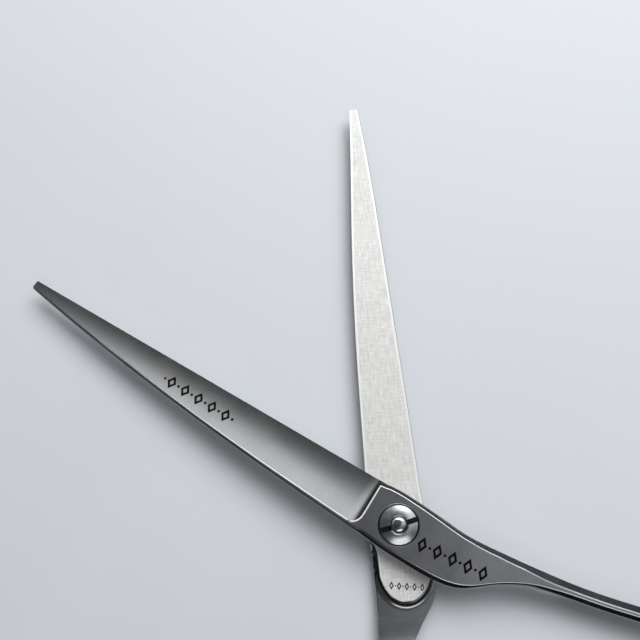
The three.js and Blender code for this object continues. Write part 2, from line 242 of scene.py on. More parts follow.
# places of the finishes in each half's list of materials
satinFace, hollowFace, bevelFace, groundFace, honeFace = range(5)


def plainMaterial(name, look):
    # one finish with a soft grain in tone, roughness and bump
    material, shader = newMaterial(name)
    place = addNode(material, "ShaderNodeTexCoord")
    grain = addNode(material, "ShaderNodeTexNoise", {"Scale": look["scale"], "Detail": 4.0},
                    {"Vector": place.outputs["Object"]})
    tone, rough = toneAndRough(material, look, grain, grain)
    channels = (tone.outputs[2], rough.outputs["Result"], grain.outputs["Fac"])
    finishShader(material, shader, look, channels, 0.00003)
    return material


def makeMesh(name, points, quads, caps, quadMaterials, capMaterial, materials):
    # points (n, 3) in mm; the face order is turned if the volume comes out negative
    first, second, third, fourth = (points[quads[:, k]] for k in range(4))
    volume = np.einsum("ij,ij->", first, np.cross(second, third)) + np.einsum(
        "ij,ij->", first, np.cross(third, fourth))
    for cap in caps:
        corner = points[cap]
        volume += np.einsum("ij,ij->", np.broadcast_to(corner[0], corner[1:-1].shape),
                            np.cross(corner[1:-1], corner[2:]))
    faces = quads.tolist() + [list(cap) for cap in caps]
    if volume < 0:
        faces = [face[::-1] for face in faces]
    mesh = bpy.data.meshes.new(name)
    mesh.from_pydata(points.tolist(), [], faces)
    for material in materials:
        mesh.materials.append(material)
    index = np.concatenate([quadMaterials, np.full(len(caps), capMaterial)]).astype(np.int32)
    mesh.polygons.foreach_set("material_index", index)
    mesh.update()
    return placeInScene(mesh, name)


def loftMesh(name, rings, materials, strips=None, closedPath=False, capMaterial=0):
    # closed sections carried along a path: rings is (rows, columns, 3), one section a row
    rows, columns = rings.shape[:2]
    index = np.arange(rows * columns).reshape(rows, columns)
    across = np.roll(index, -1, axis=1)
    if closedPath:
        ahead, aheadAcross = np.roll(index, -1, axis=0), np.roll(across, -1, axis=0)
        quads = np.stack([index, across, aheadAcross, ahead], -1).reshape(-1, 4)
        stripRows, caps = rows, []
    else:
        quads = np.stack([index[:-1], across[:-1], across[1:], index[1:]], -1).reshape(-1, 4)
        stripRows, caps = rows - 1, [index[0][::-1], index[-1]]
    if strips is None:
        strips = np.zeros((stripRows, columns))
    strips = np.broadcast_to(strips, (stripRows, columns)) if np.ndim(strips) == 1 else strips[:stripRows]
    return makeMesh(name, rings.reshape(-1, 3), quads, caps, strips.reshape(-1), capMaterial, materials)


def latheRings(profile, steps):
    # (r, z) profile turned round Z: a row per step, closed round the profile
    angle = np.linspace(0, 2 * np.pi, steps, endpoint=False)
    profile = np.asarray(profile, float)
    return np.stack([np.outer(np.cos(angle), profile[:, 0]), np.outer(np.sin(angle), profile[:, 0]),
                     np.broadcast_to(profile[:, 1], (steps, len(profile)))], -1)


def solidLathe(name, profile, steps, materials, material=0):
    # a profile that starts and ends on the axis: rows are the rings between the two poles
    profile = np.asarray(profile, float)
    angle = np.linspace(0, 2 * np.pi, steps, endpoint=False)
    inner = profile[1:-1]
    rings = np.stack([np.outer(inner[:, 0], np.cos(angle)), np.outer(inner[:, 0], np.sin(angle)),
                      np.broadcast_to(inner[:, 1][:, None], (len(inner), steps))], -1)
    strips = np.full((len(inner), steps), material)
    return loftMesh(name, rings, materials, strips, capMaterial=material)


def roundCorners(corners, radii, steps=4):
    # corners (rows, n, 2) and radii (rows, n): each corner becomes a quadratic curve of steps points
    before = np.roll(corners, 1, axis=1) - corners
    after = np.roll(corners, -1, axis=1) - corners
    beforeLength = np.linalg.norm(before, axis=-1)
    afterLength = np.linalg.norm(after, axis=-1)
    reach = np.minimum(radii, 0.42 * np.minimum(beforeLength, afterLength))[..., None]
    start = corners + before / np.maximum(beforeLength, 1e-9)[..., None] * reach
    end = corners + after / np.maximum(afterLength, 1e-9)[..., None] * reach
    t = np.linspace(0, 1, steps)[None, None, :, None]
    curve = ((1 - t) ** 2 * start[:, :, None] + 2 * t * (1 - t) * corners[:, :, None]
             + t ** 2 * end[:, :, None])
    return curve.reshape(corners.shape[0], -1, 2)


def naturalSpline(knots, values, query):
    # cubic spline with free ends through values (n, k) at knots (n)
    knots, values = np.asarray(knots, float), np.asarray(values, float)
    n, gap = len(knots), np.diff(knots)
    system, right = np.eye(n), np.zeros((n,) + values.shape[1:])
    inner = np.arange(1, n - 1)
    system[inner, inner - 1], system[inner, inner + 1] = gap[:-1], gap[1:]
    system[inner, inner] = 2 * (gap[:-1] + gap[1:])
    slope = np.diff(values, axis=0) / gap[:, None]
    right[1:-1] = 6 * np.diff(slope, axis=0)
    bend = np.linalg.solve(system, right)
    k = np.clip(np.searchsorted(knots, query) - 1, 0, n - 2)
    h = gap[k][:, None]
    a = (knots[k + 1] - query)[:, None] / h
    b = 1 - a
    return (a * values[k] + b * values[k + 1]
            + ((a ** 3 - a) * bend[k] + (b ** 3 - b) * bend[k + 1]) * h ** 2 / 6)


def ease(y, knots, values):
    # steps between values at falling y knots with a smooth start and stop on each stretch
    knots, values = np.asarray(knots, float)[::-1], np.asarray(values, float)[::-1]
    k = np.clip(np.searchsorted(knots, y) - 1, 0, len(knots) - 2)
    t = np.clip((y - knots[k]) / (knots[k + 1] - knots[k]), 0, 1)
    return values[k] + (values[k + 1] - values[k]) * t * t * (3 - 2 * t)


def applied(piece):
    view = bpy.context.evaluated_depsgraph_get()
    mesh = bpy.data.meshes.new_from_object(piece.evaluated_get(view))
    piece.modifiers.clear()
    piece.data = mesh
    return piece


def combine(piece, other, operation):
    modifier = piece.modifiers.new("combine", "BOOLEAN")
    modifier.operation = operation
    modifier.solver = "MANIFOLD"
    modifier.object = other
    bpy.context.view_layer.update()
    applied(piece)
    bpy.data.objects.remove(other)
    return piece


def finishPiece(piece, place, sharp=26):
    # mm to metres and into the row frame, then smooth faces with sharp creases kept
    piece.data.transform(Matrix.Scale(0.001, 4) @ place)
    piece.data.update()
    piece.data.shade_smooth()
    piece.data.set_sharp_from_angle(angle=toRadians(sharp))
    return piece


def weighNormals(piece):
    # flats keep flat reflections beside small rounds
    modifier = piece.modifiers.new("weigh", "WEIGHTED_NORMAL")
    modifier.keep_sharp = True
    modifier.weight = 80
    return applied(piece)


def edgeX(y):
    return pair["edgeAtPivot"] + (pair["edgeAtTip"] - pair["edgeAtPivot"]) * y / pair["bladeLength"]


def spineX(y):
    fall = np.maximum(y, 0) / pair["bladeLength"]
    return -(pair["spineAtPivot"] - pair["spineDrop"] * fall ** pair["spinePower"])


grind = {
    "radius": 30.0,         # of the wheel that cuts the hollow
    "fillet": 1.05,         # the wheel's rounded corner at the shoulder, up and along
    "filletRun": 2.2,
    "edge": 0.34,           # steel left at the cutting edge
    "inset": 0.8,           # strip along the spine, at the shoulder and the tip
    "tipInset": 0.34,
}


def wheelAxle():
    # centre of the wheel's circle, over the chord from the edge to the ridge at the shoulder
    chord = edgeX(pair["shoulderY"]) - spineX(pair["shoulderY"]) - grind["inset"]
    rise = pair["thickness"] - grind["edge"]
    half = np.hypot(chord, rise) / 2
    lean = np.arctan2(rise, chord)
    lift = np.sqrt(grind["radius"] ** 2 - half ** 2)
    return chord / 2 - lift * np.sin(lean), grind["edge"] + rise / 2 + lift * np.cos(lean)


axleIn, axleHeight = wheelAxle()


def hollowHeight(inward, radius=grind["radius"]):
    # height of the ground hollow at a distance inward of the cutting edge
    return axleHeight - np.sqrt(np.maximum(radius ** 2 - (inward - axleIn) ** 2, 0))


def spineHeight(y):
    # level at which the hollow meets the strip along the spine
    share = np.clip((y - pair["shoulderY"]) / (pair["bladeLength"] - pair["shoulderY"]), 0, 1)
    inset = grind["inset"] + (grind["tipInset"] - grind["inset"]) * share
    height = hollowHeight(edgeX(y) - spineX(y) - inset)
    return np.where(y > pair["shoulderY"], np.minimum(height, pair["thickness"]), pair["thickness"])


upperLine = {
    "edge": [(5.22, 3), (5.32, 0), (5.3, -4), (5.16, -8), (5.1, -11), (5.32, -14), (5.78, -17.4),
             (6.3, -21), (6.88, -24.6), (7.5, -28.2), (8.3, -32.4), (9.5, -37.4), (11.0, -42.7),
             (12.55, -48), (14.15, -53.2), (15.9, -58), (18.0, -62.3), (20.8, -65.8)],
    "spine": [(-5.2, 3), (-5.3, 0), (-5.16, -4.2), (-4.9, -8.4), (-4.45, -11.8), (-3.35, -14.8),
              (-1.2, -17.8), (1.25, -20.9), (3.1, -24.2), (4.45, -28), (5.75, -33), (7.05, -38.2),
              (8.6, -43.6), (10.1, -48.8), (11.7, -54.1), (13.3, -59), (14.2, -63), (13.2, -66.3)],
    "ring": {"x": 17.5, "y": -80.0, "a": 11.8, "b": 13.0},
    "bow": 0.0,
}
lowerLine = {
    "edge": [(5.1, 3), (5.25, 0), (5.2, -4), (5.1, -8), (5.03, -11), (5.05, -14), (5.15, -17.4),
             (5.3, -20.6), (5.75, -24.2), (6.6, -28.4), (7.9, -32.8), (9.5, -37.6), (11.3, -42.6),
             (13.0, -47.4), (14.8, -51.4), (17.1, -55), (19.9, -57.7)],
    "spine": [(-5.2, 3), (-5.4, 0), (-5.62, -4), (-5.9, -8), (-6.05, -11), (-5.15, -13.9), (-2.95, -17.2),
              (-0.85, -20.5), (1.4, -24), (3.5, -28.4), (5.3, -33.6), (7.1, -38.4), (8.9, -43.6),
              (10.6, -48.4), (12.2, -52.4), (12.9, -55.7), (12.2, -58.1)],
    "ring": {"x": 16.5, "y": -72.0, "a": 12.2, "b": 13.4},
    "bow": 0.85,
}
section = {
    # falling y along the half, then what each place has there, in mm
    "y": [90, 9, 7.6, 4, -12, -17, -22, -27, -34, -80],
    "edgeBevel": [2.2, 2.2, 0.9, 0.6, 0.72, 0.85, 0.95, 1.2, 1.25, 1.25],
    "edgeDrop": [1.2, 1.2, 0.8, 0.56, 0.67, 0.75, 0.78, 0.92, 0.95, 0.95],
    "spineBevel": [0.16, 0.16, 0.25, 0.72, 0.8, 0.6, 0.5, 0.7, 0.85, 0.85],
    "spineDrop": [0.22, 0.22, 0.2, 0.51, 0.57, 0.43, 0.37, 0.54, 0.65, 0.65],
    "edgeLine": 0.17,       # width and drop of the bright line along the flat
    "edgeLineDrop": 0.05,
    "spineLine": 0.19,
    "spineLineDrop": 0.05,
    "rideY": [90, -1, -5, -14, -20, -30, -80],
    "rideBevel": [0.02, 0.02, 1.0, 1.0, 0.5, 0.95, 0.95],
    "rideDrop": [0.02, 0.02, 0.95, 0.95, 0.5, 0.9, 0.95],
    "backBevel": [0.13, 0.13, 0.2, 0.45, 0.5, 0.75, 0.75],
    "backDrop": [0.13, 0.13, 0.2, 0.42, 0.5, 0.75, 0.75],
    "topY": [90, -12, -22, -33, -80],
    "top": [3.0, 3.0, 2.72, 2.2, 2.2],
    "bottomY": [90, -18.5, -26, -35, -80],
    "bottom": [0.0, 0.0, -1.05, -2.2, -2.2],
    "hone": 0.42,
    "cornerSteps": 4,
    # no corner takes more than its share of the width or the height
    "bevelShare": 0.4,
    "dropShare": 0.45,
    "lineShare": 0.08,
    "honeShare": 0.2,
    "soft": 0.1,            # corner radii in mm: the outer ones, the ride face's and the honed lines'
    "fineY": [90, 9, 4, -20, -90],
    "fine": [0.004, 0.004, 0.06, 0.16, 0.2],
    "crisp": 0.01,
    "plainFrom": -13.2,     # behind this the underside is satined, not ground
}


def bowed(y, bow):
    # sideways bow of a blade: nothing at pivot and tip, most at the middle
    share = np.clip(y / pair["bladeLength"], 0, 1)
    return bow * np.maximum(np.sin(np.pi * share), 0) ** 1.5


def outlineRows(line):
    # the two side lines as matched rows: formulas ahead of the pivot, splines behind it
    tipY = pair["bladeLength"] - np.array([0, 0.06, 0.2, 0.5])
    tipNarrow = np.array([0.84, 0.93, 0.98, 1.0])
    front = np.concatenate([tipY, np.linspace(tipY[-1] - 2, 11, 56), np.linspace(10, 5.2, 26)])
    narrow = np.concatenate([tipNarrow, np.ones(len(front) - len(tipY))])
    bend = bowed(front, line["bow"])
    edge = np.stack([edgeX(front) + bend, front], -1)
    spine = np.stack([edgeX(front) + (spineX(front) - edgeX(front)) * narrow + bend, front], -1)
    lead = [[(float(side(y) + bowed(y, line["bow"])), y) for y in (9.0, 6.0)] for side in (edgeX, spineX)]
    knots = np.concatenate([np.array(lead[0] + line["edge"]), np.array(lead[1] + line["spine"])], axis=1)
    centre = (knots[:, :2] + knots[:, 2:]) / 2
    travel = np.concatenate([[0], np.cumsum(np.linalg.norm(np.diff(centre, axis=0), axis=1))])
    rear = naturalSpline(travel, knots, np.linspace(4.4, travel[-1], 150))
    return np.concatenate([edge, rear[:, :2]]), np.concatenate([spine, rear[:, 2:]])


def halfRings(line):
    # each section is a twelve-cornered bar between the two side lines, its corners rounded
    edge, spine = outlineRows(line)
    y = (edge[:, 1] + spine[:, 1]) / 2
    width = np.linalg.norm(spine - edge, axis=1)
    top = np.minimum(ease(y, section["topY"], section["top"]), spineHeight(y))
    bottom = ease(y, section["bottomY"], section["bottom"])
    height = top - bottom
    limit = width * section["bevelShare"]
    edgeBevel, spineBevel = (np.minimum(ease(y, section["y"], section[key]), limit)
                             for key in ("edgeBevel", "spineBevel"))
    rideBevel, backBevel = (np.minimum(ease(y, section["rideY"], section[key]), limit)
                            for key in ("rideBevel", "backBevel"))
    edgeDrop, spineDrop = (np.minimum(ease(y, section["y"], section[key]), height * section["dropShare"])
                           for key in ("edgeDrop", "spineDrop"))
    rideDrop, backDrop = (np.minimum(ease(y, section["rideY"], section[key]), height * section["dropShare"])
                          for key in ("rideDrop", "backDrop"))
    # at the tip the slope stays above the cutting edge, so that the wheel takes all of it
    edgeDrop = np.minimum(edgeDrop, height - grind["edge"] - 0.03)
    edgeLine, spineLine = (np.minimum(section[key], width * section["lineShare"])
                           for key in ("edgeLine", "spineLine"))
    zero = np.zeros_like(y)
    hone = np.minimum(section["hone"], width * section["honeShare"])
    corners = np.stack([
        np.stack([edgeBevel + edgeLine, top], -1),
        np.stack([width - spineBevel - spineLine, top], -1),
        np.stack([width - spineBevel, top - section["spineLineDrop"]], -1),
        np.stack([width, top - spineDrop], -1),
        np.stack([width, bottom + backDrop], -1),
        np.stack([width - backBevel, bottom], -1),
        np.stack([width - backBevel - hone, bottom], -1),
        np.stack([rideBevel + hone, bottom], -1),
        np.stack([rideBevel, bottom], -1),
        np.stack([zero, bottom + rideDrop], -1),
        np.stack([zero, top - edgeDrop], -1),
        np.stack([edgeBevel, top - section["edgeLineDrop"]], -1),
    ], axis=1)
    fine = ease(y, section["fineY"], section["fine"])
    soft = zero + section["soft"]
    crisp = zero + section["crisp"]
    radii = np.stack([soft, soft, soft, soft * 2, soft, fine, crisp, crisp, fine, fine, soft / 2, soft],
                     axis=1)
    flat = roundCorners(corners, radii, section["cornerSteps"])
    direction = (spine - edge) / width[:, None]
    plan = edge[:, None] + direction[:, None] * flat[..., :1]
    rings = np.concatenate([plan, flat[..., 1:]], -1)
    faces = np.full(len(corners[0]), bevelFace)
    faces[[0, 5, 6, 7]] = satinFace, honeFace, groundFace, honeFace
    strips = np.repeat(faces, section["cornerSteps"])[None].repeat(len(y), 0)
    rounds = np.arange(strips.shape[1]) % section["cornerSteps"] < section["cornerSteps"] - 1
    strips[:, rounds & (strips[0] == satinFace)] = bevelFace
    strips[:, rounds & (strips[0] == groundFace)] = honeFace
    strips[np.ix_(y < section["plainFrom"], np.isin(strips[0], (honeFace, groundFace)))] = satinFace
    return rings, strips


ridgeLine = {"back": 0.13, "share": 0.62, "over": 1.2}      # polished line where hollow and strip meet


def wheelRings(bow):
    # the hollow wheel as a block: its underside is the wheel's circle, easing off to a flatter
    # polished line at the ridge; at the shoulder it has the wheel's rounded corner
    bend = np.linspace(0, np.pi / 2, 20)
    fillet = grind["fillet"]
    start, end = pair["shoulderY"], pair["bladeLength"]
    rowY = np.concatenate([start + grind["filletRun"] * (1 - np.cos(bend)),
                           np.linspace(start + grind["filletRun"] + 2, end + 4, 60)])
    radius = grind["radius"] - fillet + fillet * np.concatenate([np.sin(bend), np.ones(60)])
    share = np.clip((rowY - start) / (end - start), 0, 1)
    inset = grind["inset"] + (grind["tipInset"] - grind["inset"]) * share
    ridge = np.maximum(edgeX(rowY) - spineX(rowY) - inset - ridgeLine["back"], 0.6)
    inward = -3 + (ridge[:, None] + 3) * np.linspace(0, 1, 70)[None]
    height = axleHeight - np.sqrt(radius[:, None] ** 2 - (inward - axleIn) ** 2)
    slope = (ridge - axleIn) / grind["radius"] * ridgeLine["share"]
    beyond = np.array([0.2, 0.45, ridgeLine["over"]])
    rise = height[:, -1:] + slope[:, None] * beyond[None]
    inward = np.concatenate([inward, ridge[:, None] + beyond[None],
                             ridge[:, None] + ridgeLine["over"] + 0.02,
                             np.full((len(rowY), 1), -3.0)], axis=1)
    height = np.concatenate([height, rise, np.full((len(rowY), 2), 9.0)], axis=1)
    along = np.broadcast_to(rowY[:, None], height.shape)
    return np.stack([(edgeX(rowY) + bowed(rowY, bow))[:, None] - inward, along, height], -1)


lipForm = {"back": 0.3, "drop": 0.1, "from": -1.5, "to": 8.95}     # slope along the shoulder's top edge


def shoulderLipRings():
    # a narrow slope along the shoulder's top edge, following the line where the wheel's corner
    # leaves the flat: a four-cornered bar carried along that line
    y, fillet, top = pair["shoulderY"], grind["fillet"], pair["thickness"]
    inward = np.linspace(lipForm["from"], lipForm["to"], 60)
    depth = np.clip(top - hollowHeight(inward), 0, fillet)
    drop = 1 - depth / fillet
    line = np.stack([edgeX(y) - inward, y + grind["filletRun"] * (1 - np.sqrt(1 - drop ** 2))], -1)
    tangent = np.gradient(line, axis=0)
    tangent /= np.linalg.norm(tangent, axis=1)[:, None]
    behind = np.stack([-tangent[:, 1], tangent[:, 0]], -1)
    behind *= np.sign(-behind[:, 1:])
    reach = np.array([lipForm["back"], -0.02, -0.02, lipForm["back"]])
    level = np.array([0.015, -lipForm["drop"], 1, 1]) + top
    spots = line[:, None] + behind[:, None] * reach[None, :, None]
    return np.concatenate([spots, np.broadcast_to(level[None, :, None], spots.shape[:2] + (1,))], -1)


reliefPlan = {
    "x": -0.5, "y": -7.0, "a": 4.65, "b": 6.5,      # half ellipse that ends the ride flat
    "depth": 0.75, "cove": 1.35, "reach": 15.0,
    "fadeY": [90, -17, -25.5, -90], "fade": [1, 1, 0, 0],
    "sunk": 0.04,
}


def reliefRings():
    # what is ground away behind the ride flat: a cove carried round half an ellipse
    angle = np.linspace(np.pi, 2 * np.pi, 61)
    plan = np.stack([reliefPlan["x"] + reliefPlan["a"] * np.cos(angle),
                     reliefPlan["y"] + reliefPlan["b"] * np.sin(angle)], -1)
    outward = np.stack([np.cos(angle) / reliefPlan["a"], np.sin(angle) / reliefPlan["b"]], -1)
    lead = np.array([[-5.7, -4.0], [-5.35, -5.5]])
    trail = np.array([[4.12, -5.4], [4.4, -4.0], [4.8, -2.6], [5.5, -1.2]])
    plan = np.concatenate([lead, plan, trail])
    trailOut = np.array([[1, -0.08], [1, -0.15], [1, -0.25], [1, -0.3]])
    outward = np.concatenate([np.repeat([[-1.0, -0.05]], 2, 0), outward, trailOut])
    outward /= np.linalg.norm(outward, axis=1)[:, None]
    cove, far = np.linspace(0, 1, 12), reliefPlan["reach"]
    reach = np.concatenate([[0], cove * reliefPlan["cove"], np.linspace(1.6, far, 18), [far]])
    share = np.concatenate([[0], 1 - (1 - cove) ** 2, np.ones(19)])
    spots = plan[:, None] + outward[:, None] * reach[None, :, None]
    y = spots[..., 1]
    fade = ease(y.ravel(), reliefPlan["fadeY"], reliefPlan["fade"]).reshape(y.shape)
    floor = ease(y.ravel(), section["bottomY"], section["bottom"]).reshape(y.shape)
    level = (floor + reliefPlan["depth"] * fade - reliefPlan["sunk"] * (1 - fade)) * share[None]
    level[:, 0] = -4
    level[:, -1] = -4
    return np.concatenate([spots, level[..., None]], -1)


ringForm = {"wall": 3.0, "height": 5.2}


def ringRings(ring):
    # an oval section, a little flattened on its faces, carried round an ellipse
    turn = np.linspace(0, 2 * np.pi, 144, endpoint=False)
    across = np.linspace(0, 2 * np.pi, 36, endpoint=False)
    radial = ringForm["wall"] / 2 * np.sign(np.cos(across)) * np.abs(np.cos(across)) ** 0.9
    height = ringForm["height"] / 2 * np.sign(np.sin(across)) * np.abs(np.sin(across)) ** 0.85
    a, b = ring["a"] + ringForm["wall"] / 2, ring["b"] + ringForm["wall"] / 2
    normal = np.stack([np.cos(turn) / a, np.sin(turn) / b], -1)
    normal /= np.linalg.norm(normal, axis=1)[:, None]
    plan = np.stack([ring["x"] + a * np.cos(turn), ring["y"] + b * np.sin(turn)], -1)
    spots = plan[:, None] + normal[:, None] * radial[None, :, None]
    return np.concatenate([spots, np.broadcast_to(height[None, :, None], spots.shape[:2] + (1,))], -1)


def makeHalf(name, line, materials, place, holes):
    rings, strips = halfRings(line)
    piece = loftMesh(name, rings, materials, strips, capMaterial=bevelFace)
    wheel = wheelRings(line["bow"])
    wheelStrips = np.full(wheel.shape[1], hollowFace)
    wheelStrips[69:] = bevelFace
    combine(piece, loftMesh("wheel", wheel, materials, wheelStrips, capMaterial=hollowFace), "DIFFERENCE")
    lip = shoulderLipRings()
    lipStrips = np.full(lip.shape[1], honeFace)
    combine(piece, loftMesh("lip", lip, materials, lipStrips, capMaterial=honeFace), "DIFFERENCE")
    relief = reliefRings()
    reliefStrips = np.full(relief.shape[1], satinFace)
    reliefStrips[:13] = bevelFace
    combine(piece, loftMesh("relief", relief, materials, reliefStrips, capMaterial=bevelFace), "DIFFERENCE")
    for profile in holes:
        combine(piece, solidLathe("hole", profile, 160, materials, bevelFace), "DIFFERENCE")
    ring = loftMesh("ring", ringRings(line["ring"]), materials, np.full(36, bevelFace), closedPath=True)
    combine(piece, ring, "UNION")
    finishPiece(piece, place)
    return weighNormals(piece)


upperPlace = Matrix.Rotation(halfAngle, 4, "Z") @ Matrix.Translation((0, 0, pair["upperRide"]))
lowerPlace = (Matrix.Rotation(-halfAngle, 4, "Z") @ Matrix.Translation((0, 0, pair["lowerRide"]))
              @ Matrix.Rotation(np.pi, 4, "Y"))
# holes in each half as radii and levels in mm, on its own axis
pocket = pair["thickness"] - pair["pocketDepth"]
bores = {"nutPocket": 3.66, "bush": 2.87, "washer": 3.95, "washerDepth": 0.27,
         "headPocket": 3.53, "headFloor": 2.13, "stud": 2.32, "glide": 3.92, "glideDepth": 0.21}


def sinkProfile(radius, floor, chamfer, rim):
    # a round pocket open at the outer face, its mouth chamfered from the rim level
    mouth = radius + chamfer
    return [(0, floor), (radius, floor), (radius, rim), (mouth, rim + chamfer), (mouth, 4), (0, 4)]


def boreProfile(radius, top):
    # a round hole open at the ride face
    return [(0, -1), (radius, -1), (radius, top), (0, top)]


upperHoles = [sinkProfile(bores["nutPocket"], pocket, 0.14, 2.88),
              boreProfile(bores["bush"], pocket + 0.5),
              boreProfile(bores["washer"], bores["washerDepth"])]
lowerHoles = [sinkProfile(bores["headPocket"], bores["headFloor"], 0.11, 2.9),
              boreProfile(bores["stud"], 2.5),
              boreProfile(bores["glide"], bores["glideDepth"])]

upperSteel = steelSet("upper", -halfAngle, {"hollow": ["blade"], "satin": ["ricasso"]})
lowerSteel = steelSet("lower", halfAngle, {"ground": ["ride"]})
upperHalf = makeHalf("upperBlade", upperLine, upperSteel, upperPlace, upperHoles)
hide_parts("upper_half")
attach(upperHalf, "upper")
print("upper half made", len(upperHalf.data.polygons))
lowerHalf = makeHalf("lowerBlade", lowerLine, lowerSteel, lowerPlace, lowerHoles)
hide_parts("lower_half")
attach(lowerHalf, "lower")
print("lower half made", len(lowerHalf.data.polygons))

polishedSteel = plainMaterial("polishedSteel", {
    # lathe-turned and buffed stainless: bright, mirror-like, faint haze
    "dark": "#a3a5a8", "light": "#b3b5b8", "scale": 900.0,
    "rough": (0.1, 0.16), "bump": 0.04, "metal": 1.0})
nutForm = {"bottom": 4.87, "top": 6.07, "radius": 3.5, "rise": 0.42, "bore": 1.55, "slotWidth": 0.92,
           "slotDepth": 0.75, "slotAngle": -14.0}


def nutProfile():
    # closed round: cylinder, rounded rim, cone and a sunk mouth for the stud's dome
    radius, top, bore, bottom = (nutForm[key] for key in ("radius", "top", "bore", "bottom"))
    coneTop = top + nutForm["rise"]
    return [(bore, bottom), (radius - 0.12, bottom), (radius, bottom + 0.12), (radius, top - 0.16),
            (radius - 0.04, top - 0.07), (radius - 0.12, top), (radius - 0.24, top + 0.035),
            (2.6, top + nutForm["rise"] * 0.6), (1.9, coneTop - 0.015),
            (1.67, coneTop), (1.61, coneTop - 0.02), (bore, coneTop - 0.1)]


recessShadeSteel = plainMaterial("recessShadeSteel", {
    # saw-cut slot walls and the bore mouth round the dome, unpolished: painted shade, near black to stand
    # in for the shade inside these recesses
    "dark": "#2b2b2d", "light": "#3c3c3f", "scale": 1100.0,
    "rough": (0.4, 0.55), "bump": 0.2, "metal": 1.0})
turnedSteel = plainMaterial("turnedSteel", {
    # faced on a lathe and lightly buffed: bright, its reflections a little spread
    "dark": "#aeb0b3", "light": "#bfc1c4", "scale": 1000.0,
    "rough": (0.2, 0.27), "bump": 0.06, "metal": 1.0})
nutFinish = [turnedSteel, recessShadeSteel]
nutStrips = np.zeros(12)
# the mouth round the dome takes the near-black steel: painted shade in the gap round the dome
nutStrips[11:] = 1      # the mouth round the dome
nut = loftMesh("tensionNut", latheRings(nutProfile(), 144), nutFinish, nutStrips, closedPath=True)
slotWidth, slotFloor = nutForm["slotWidth"] / 2, nutForm["top"] + nutForm["rise"] - nutForm["slotDepth"]
slotSection = np.array([(-slotWidth, slotFloor), (slotWidth, slotFloor), (slotWidth, 9), (-slotWidth, 9)])
slotRings = np.stack([np.concatenate([np.full((4, 1), x), slotSection], 1) for x in (-5.0, 5.0)])
# the slot's cut faces take the near-black steel: painted shade inside the slot
slotCutter = loftMesh("slot", slotRings, nutFinish, np.ones(4), capMaterial=1)
slotCutter.data.transform(Matrix.Rotation(toRadians(nutForm["slotAngle"]), 4, "Z"))
combine(nut, slotCutter, "DIFFERENCE")
finishPiece(nut, Matrix.Identity(4), 20)
weighNormals(nut)
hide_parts("tension_nut")
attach(nut, "nut")

studForm = {"head": 3.5, "headHeight": 0.85, "shank": 2.3, "threadFrom": 4.53, "thread": 1.5,
            "domeFrom": 6.36, "domeHeight": 0.58}


def studProfile():
    # chamfered head, shank, thread and a domed end
    head, headHeight, shank = studForm["head"], studForm["headHeight"], studForm["shank"]
    thread, threadFrom = studForm["thread"], studForm["threadFrom"]
    bend = np.linspace(0, np.pi / 2, 20)
    rise = studForm["domeFrom"] + studForm["domeHeight"] * np.sin(bend)
    dome = np.stack([thread * np.cos(bend), rise], -1)
    return ([(0, 0), (head - 0.15, 0), (head - 0.04, 0.04), (head, 0.15), (head, headHeight),
             (shank, headHeight), (shank, threadFrom), (thread, threadFrom)] + dome.tolist())


stud = solidLathe("pivotStud", studProfile(), 128, [polishedSteel])
finishPiece(stud, Matrix.Identity(4), 24)
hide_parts("pivot_stud")
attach(stud, "lower")
print("pivot made")

blackRubber = plainMaterial("blackRubber", {
    # moulded nitrile rubber: near black, dull, faintly mottled
    "dark": "#17181a", "light": "#26272a", "scale": 1500.0,
    "rough": (0.55, 0.7), "bump": 0.25, "metal": 0.0})
insertForm = {"wall": 1.4, "lip": 0.9, "edge": 0.7, "lipHeight": 0.55, "seatFrom": 1.3}


def insertRings(ring, reach):
    # a C-shaped channel section carried round the ring's ellipse, its corners rounded
    inner, outer, edge = -insertForm["wall"], insertForm["lip"], insertForm["edge"]
    lipEdge, seat = reach - insertForm["lipHeight"], reach - insertForm["seatFrom"]
    corners = np.array([[(inner, -reach + edge), (inner + edge, -reach), (outer, -reach),
                         (outer, -lipEdge), (0.05, -seat), (-0.12, 0), (0.05, seat), (outer, lipEdge),
                         (outer, reach), (inner + edge, reach), (inner, reach - edge)]])
    profile = roundCorners(corners, np.full(corners.shape[:2], 0.3), 5)[0]
    turn = np.linspace(0, 2 * np.pi, 144, endpoint=False)
    normal = np.stack([np.cos(turn) / ring["a"], np.sin(turn) / ring["b"]], -1)
    normal /= np.linalg.norm(normal, axis=1)[:, None]
    plan = np.stack([ring["x"] + ring["a"] * np.cos(turn), ring["y"] + ring["b"] * np.sin(turn)], -1)
    spots = plan[:, None] + normal[:, None] * profile[None, :, :1]
    return np.concatenate([spots, np.broadcast_to(profile[None, :, 1:], spots.shape[:2] + (1,))], -1)


for name, line, reach, place, node, body in (
        ("fingerInsert", upperLine, pair["upperRide"], upperPlace, "finger_insert", "upper"),
        ("thumbInsert", lowerLine, pair["lowerRide"], lowerPlace, "thumb_insert", "lower")):
    insert = loftMesh(name, insertRings(line["ring"], reach), [blackRubber], closedPath=True)
    finishPiece(insert, place, 40)
    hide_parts(node)
    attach(insert, body)

bumperForm = {"y": -78.5, "stem": 1.1, "head": 2.1, "start": -1.6, "neck": 1.62, "face": 4.55}


def bumperProfile():
    # stem, flared neck and a rounded head with a shallow dished face
    stem, head, start, neck, face = (bumperForm[key] for key in ("stem", "head", "start", "neck", "face"))
    return [(0, start), (stem, start), (stem, neck - 0.1), (head - 0.2, neck), (head, neck + 0.25),
            (head, face - 0.6), (head - 0.12, face - 0.25), (head - 0.45, face), (head - 0.9, face - 0.06),
            (0, face - 0.12)]


